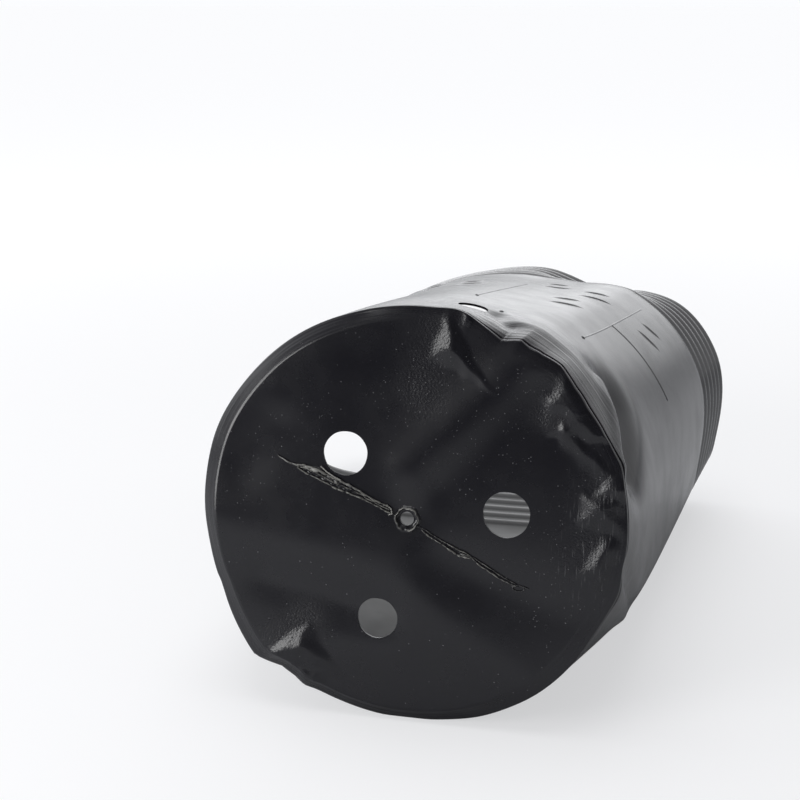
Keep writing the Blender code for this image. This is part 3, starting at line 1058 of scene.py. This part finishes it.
def grip(angle, along, length, width, height, slant):
    """Raised bar on the wall: rings from the rounded edge to the middle, which rise as a flat
    dome, over a foot that is sunk into the wall."""
    turn = np.arange(40) / 40 * 2 * math.pi
    share = np.array((1.0, 1.0, 0.88, 0.74, 0.58, 0.38, 0.18))
    rise = np.array((-SKIRT / height, 0.0, 0.13, 0.42, 0.74, 0.94, 1.0))
    rounding = (np.abs(np.cos(turn)) ** 2.6 + np.abs(np.sin(turn)) ** 1.6) ** (-1 / 2.0)
    side = length / 2 * np.outer(share, rounding * np.cos(turn))
    lengthways = width / 2 * np.outer(share, rounding * np.sin(turn)) + side * slant
    places, around, onward, out = on_wall(
        math.radians(angle) + side / crest_radius(along), along + lengthways
    )
    points = places + (rise * height)[:, None, None] * out
    faces = grid_faces(len(share), len(turn), closed_rows=False)
    faces.append(list(range(len(turn))))
    faces.append(list(range((len(share) - 1) * len(turn), len(share) * len(turn))))
    return points.reshape(-1, 3), faces


marks = [wall_line(start, end) for start, end in WALL_LINES]
marks += [grip(angle, along, 0.0016, 0.0016, 0.0003, 0.0) for angle, along in PIN_DOTS]
for angle, along, slant in GRIP_PAIRS:
    marks.append(grip(angle, along, GRIP_LENGTH, GRIP_WIDTH, GRIP_HEIGHT, slant))
    angle += GRIP_PAIR_STEP[0]
    along += GRIP_PAIR_STEP[1]
    marks.append(grip(angle, along, GRIP_LENGTH * 0.8, GRIP_WIDTH, GRIP_HEIGHT, slant))
finish_raised("mould_marks", *joined(marks), 1.0)


# Table, light and camera
# A white sweep of card with a bright backdrop behind it and a soft box at its front left. The room
# in front of the base and above it is dark, which is what the base mirrors.
FOCAL_LENGTH = 63.0
CAMERA_PITCH = math.radians(16)
CAMERA_TURN = math.radians(12.83)
CAMERA_PLACE = np.array((0.085807, -0.37857, 0.214614)) - middle


def table():
    """Large white sheet under the bag, which keeps the shadow and reads white to the
    camera."""
    size = 40.0
    corners = np.array(((-size, -size, 0), (size, -size, 0), (size, size, 0), (-size, size, 0)))
    sheet = new_object("table", corners, [[0, 1, 2, 3]])
    material = bpy.data.materials.new("white_card")
    material.use_nodes = True
    tree = material.node_tree
    tree.nodes.remove(tree.nodes["Principled BSDF"])
    place = add_node(tree, "ShaderNodeTexCoord").outputs["Object"]
    away = add_node(tree, "ShaderNodeVectorMath", ((0, place),), operation="LENGTH").outputs["Value"]
    in_front = ranged(tree, parts_of(tree, place)[1], -0.42, -0.62)
    camera_ray = add_node(tree, "ShaderNodeLightPath").outputs["Is Camera Ray"]
    colour = mixed(tree, in_front, (0.68, 0.685, 0.70, 1), (0.05, 0.05, 0.06, 1))
    colour = mixed(tree, camera_ray, colour, (0.40, 0.40, 0.405, 1))
    card = add_node(tree, "ShaderNodeBsdfDiffuse", (("Color", colour),))
    glow = number_node(tree, "MULTIPLY", camera_ray, ranged(tree, away, 0.12, 1.10, 0.585, 0.76))
    shine = add_node(
        tree, "ShaderNodeEmission", (("Color", (0.98, 0.985, 1.0, 1)), ("Strength", glow))
    )
    both = add_node(tree, "ShaderNodeAddShader", ((0, card.outputs[0]), (1, shine.outputs[0])))
    tree.links.new(both.outputs[0], tree.nodes["Material Output"].inputs["Surface"])
    sheet.data.materials.append(material)


def studio_world():
    """Room light: a bright backdrop behind the bag, which falls off overhead, and a dark room
    in front of it. The camera sees all of it as white."""
    world = bpy.data.worlds.new("studio")
    bpy.context.scene.world = world
    world.use_nodes = True
    tree = world.node_tree
    background = tree.nodes["Background"]
    direction = add_node(tree, "ShaderNodeTexCoord").outputs["Generated"]
    right, back, up = parts_of(tree, direction)
    behind = ranged(tree, back, -0.30, 0.25)
    overhead = ranged(tree, up, 0.38, 0.80, 1.0, 0.25)
    beside = ranged(tree, right, -0.12, 0.66, 1.0, 0.32)
    level = number_node(tree, "MULTIPLY", number_node(tree, "MULTIPLY", behind, overhead), beside)
    front = ranged(tree, right, 0.30, -0.50, 0.11, 0.27)
    level = number_node(tree, "MULTIPLY_ADD", level, 1.95, front)
    camera_ray = add_node(tree, "ShaderNodeLightPath").outputs["Is Camera Ray"]
    missing = number_node(tree, "SUBTRACT", 1.0, level)
    shown = number_node(tree, "MULTIPLY_ADD", camera_ray, missing, level)
    tree.links.new(shown, background.inputs["Strength"])
    background.inputs["Color"].default_value = (0.97, 0.98, 1.0, 1)


def soft_box(name, place, target, width, height, power):
    """Soft box at a place, turned to a target."""
    light = bpy.data.lights.new(name, "AREA")
    light.shape = "RECTANGLE"
    light.size = width
    light.size_y = height
    light.energy = power
    lamp = bpy.data.objects.new(name, light)
    bpy.context.scene.collection.objects.link(lamp)
    lamp.location = place
    aim = Vector(target) - Vector(place)
    lamp.rotation_euler = aim.to_track_quat("-Z", "Y").to_euler()


table()
studio_world()
soft_box("left_box", (-0.80, -0.77, 0.26), (0, -0.10, 0.06), 0.55, 0.7, 8.5)
soft_box("top_box", (-0.05, -0.02, 1.30), (0, 0, 0), 0.8, 0.8, 5.0)

camera_data = bpy.data.cameras.new("camera")
camera_data.lens = FOCAL_LENGTH
camera_data.sensor_width = 36.0
camera = bpy.data.objects.new("camera", camera_data)
bpy.context.scene.collection.objects.link(camera)
camera.location = CAMERA_PLACE
camera.rotation_euler = (math.pi / 2 - CAMERA_PITCH, 0, CAMERA_TURN)
bpy.context.scene.camera = camera
bpy.context.scene.view_settings.view_transform = "Standard"
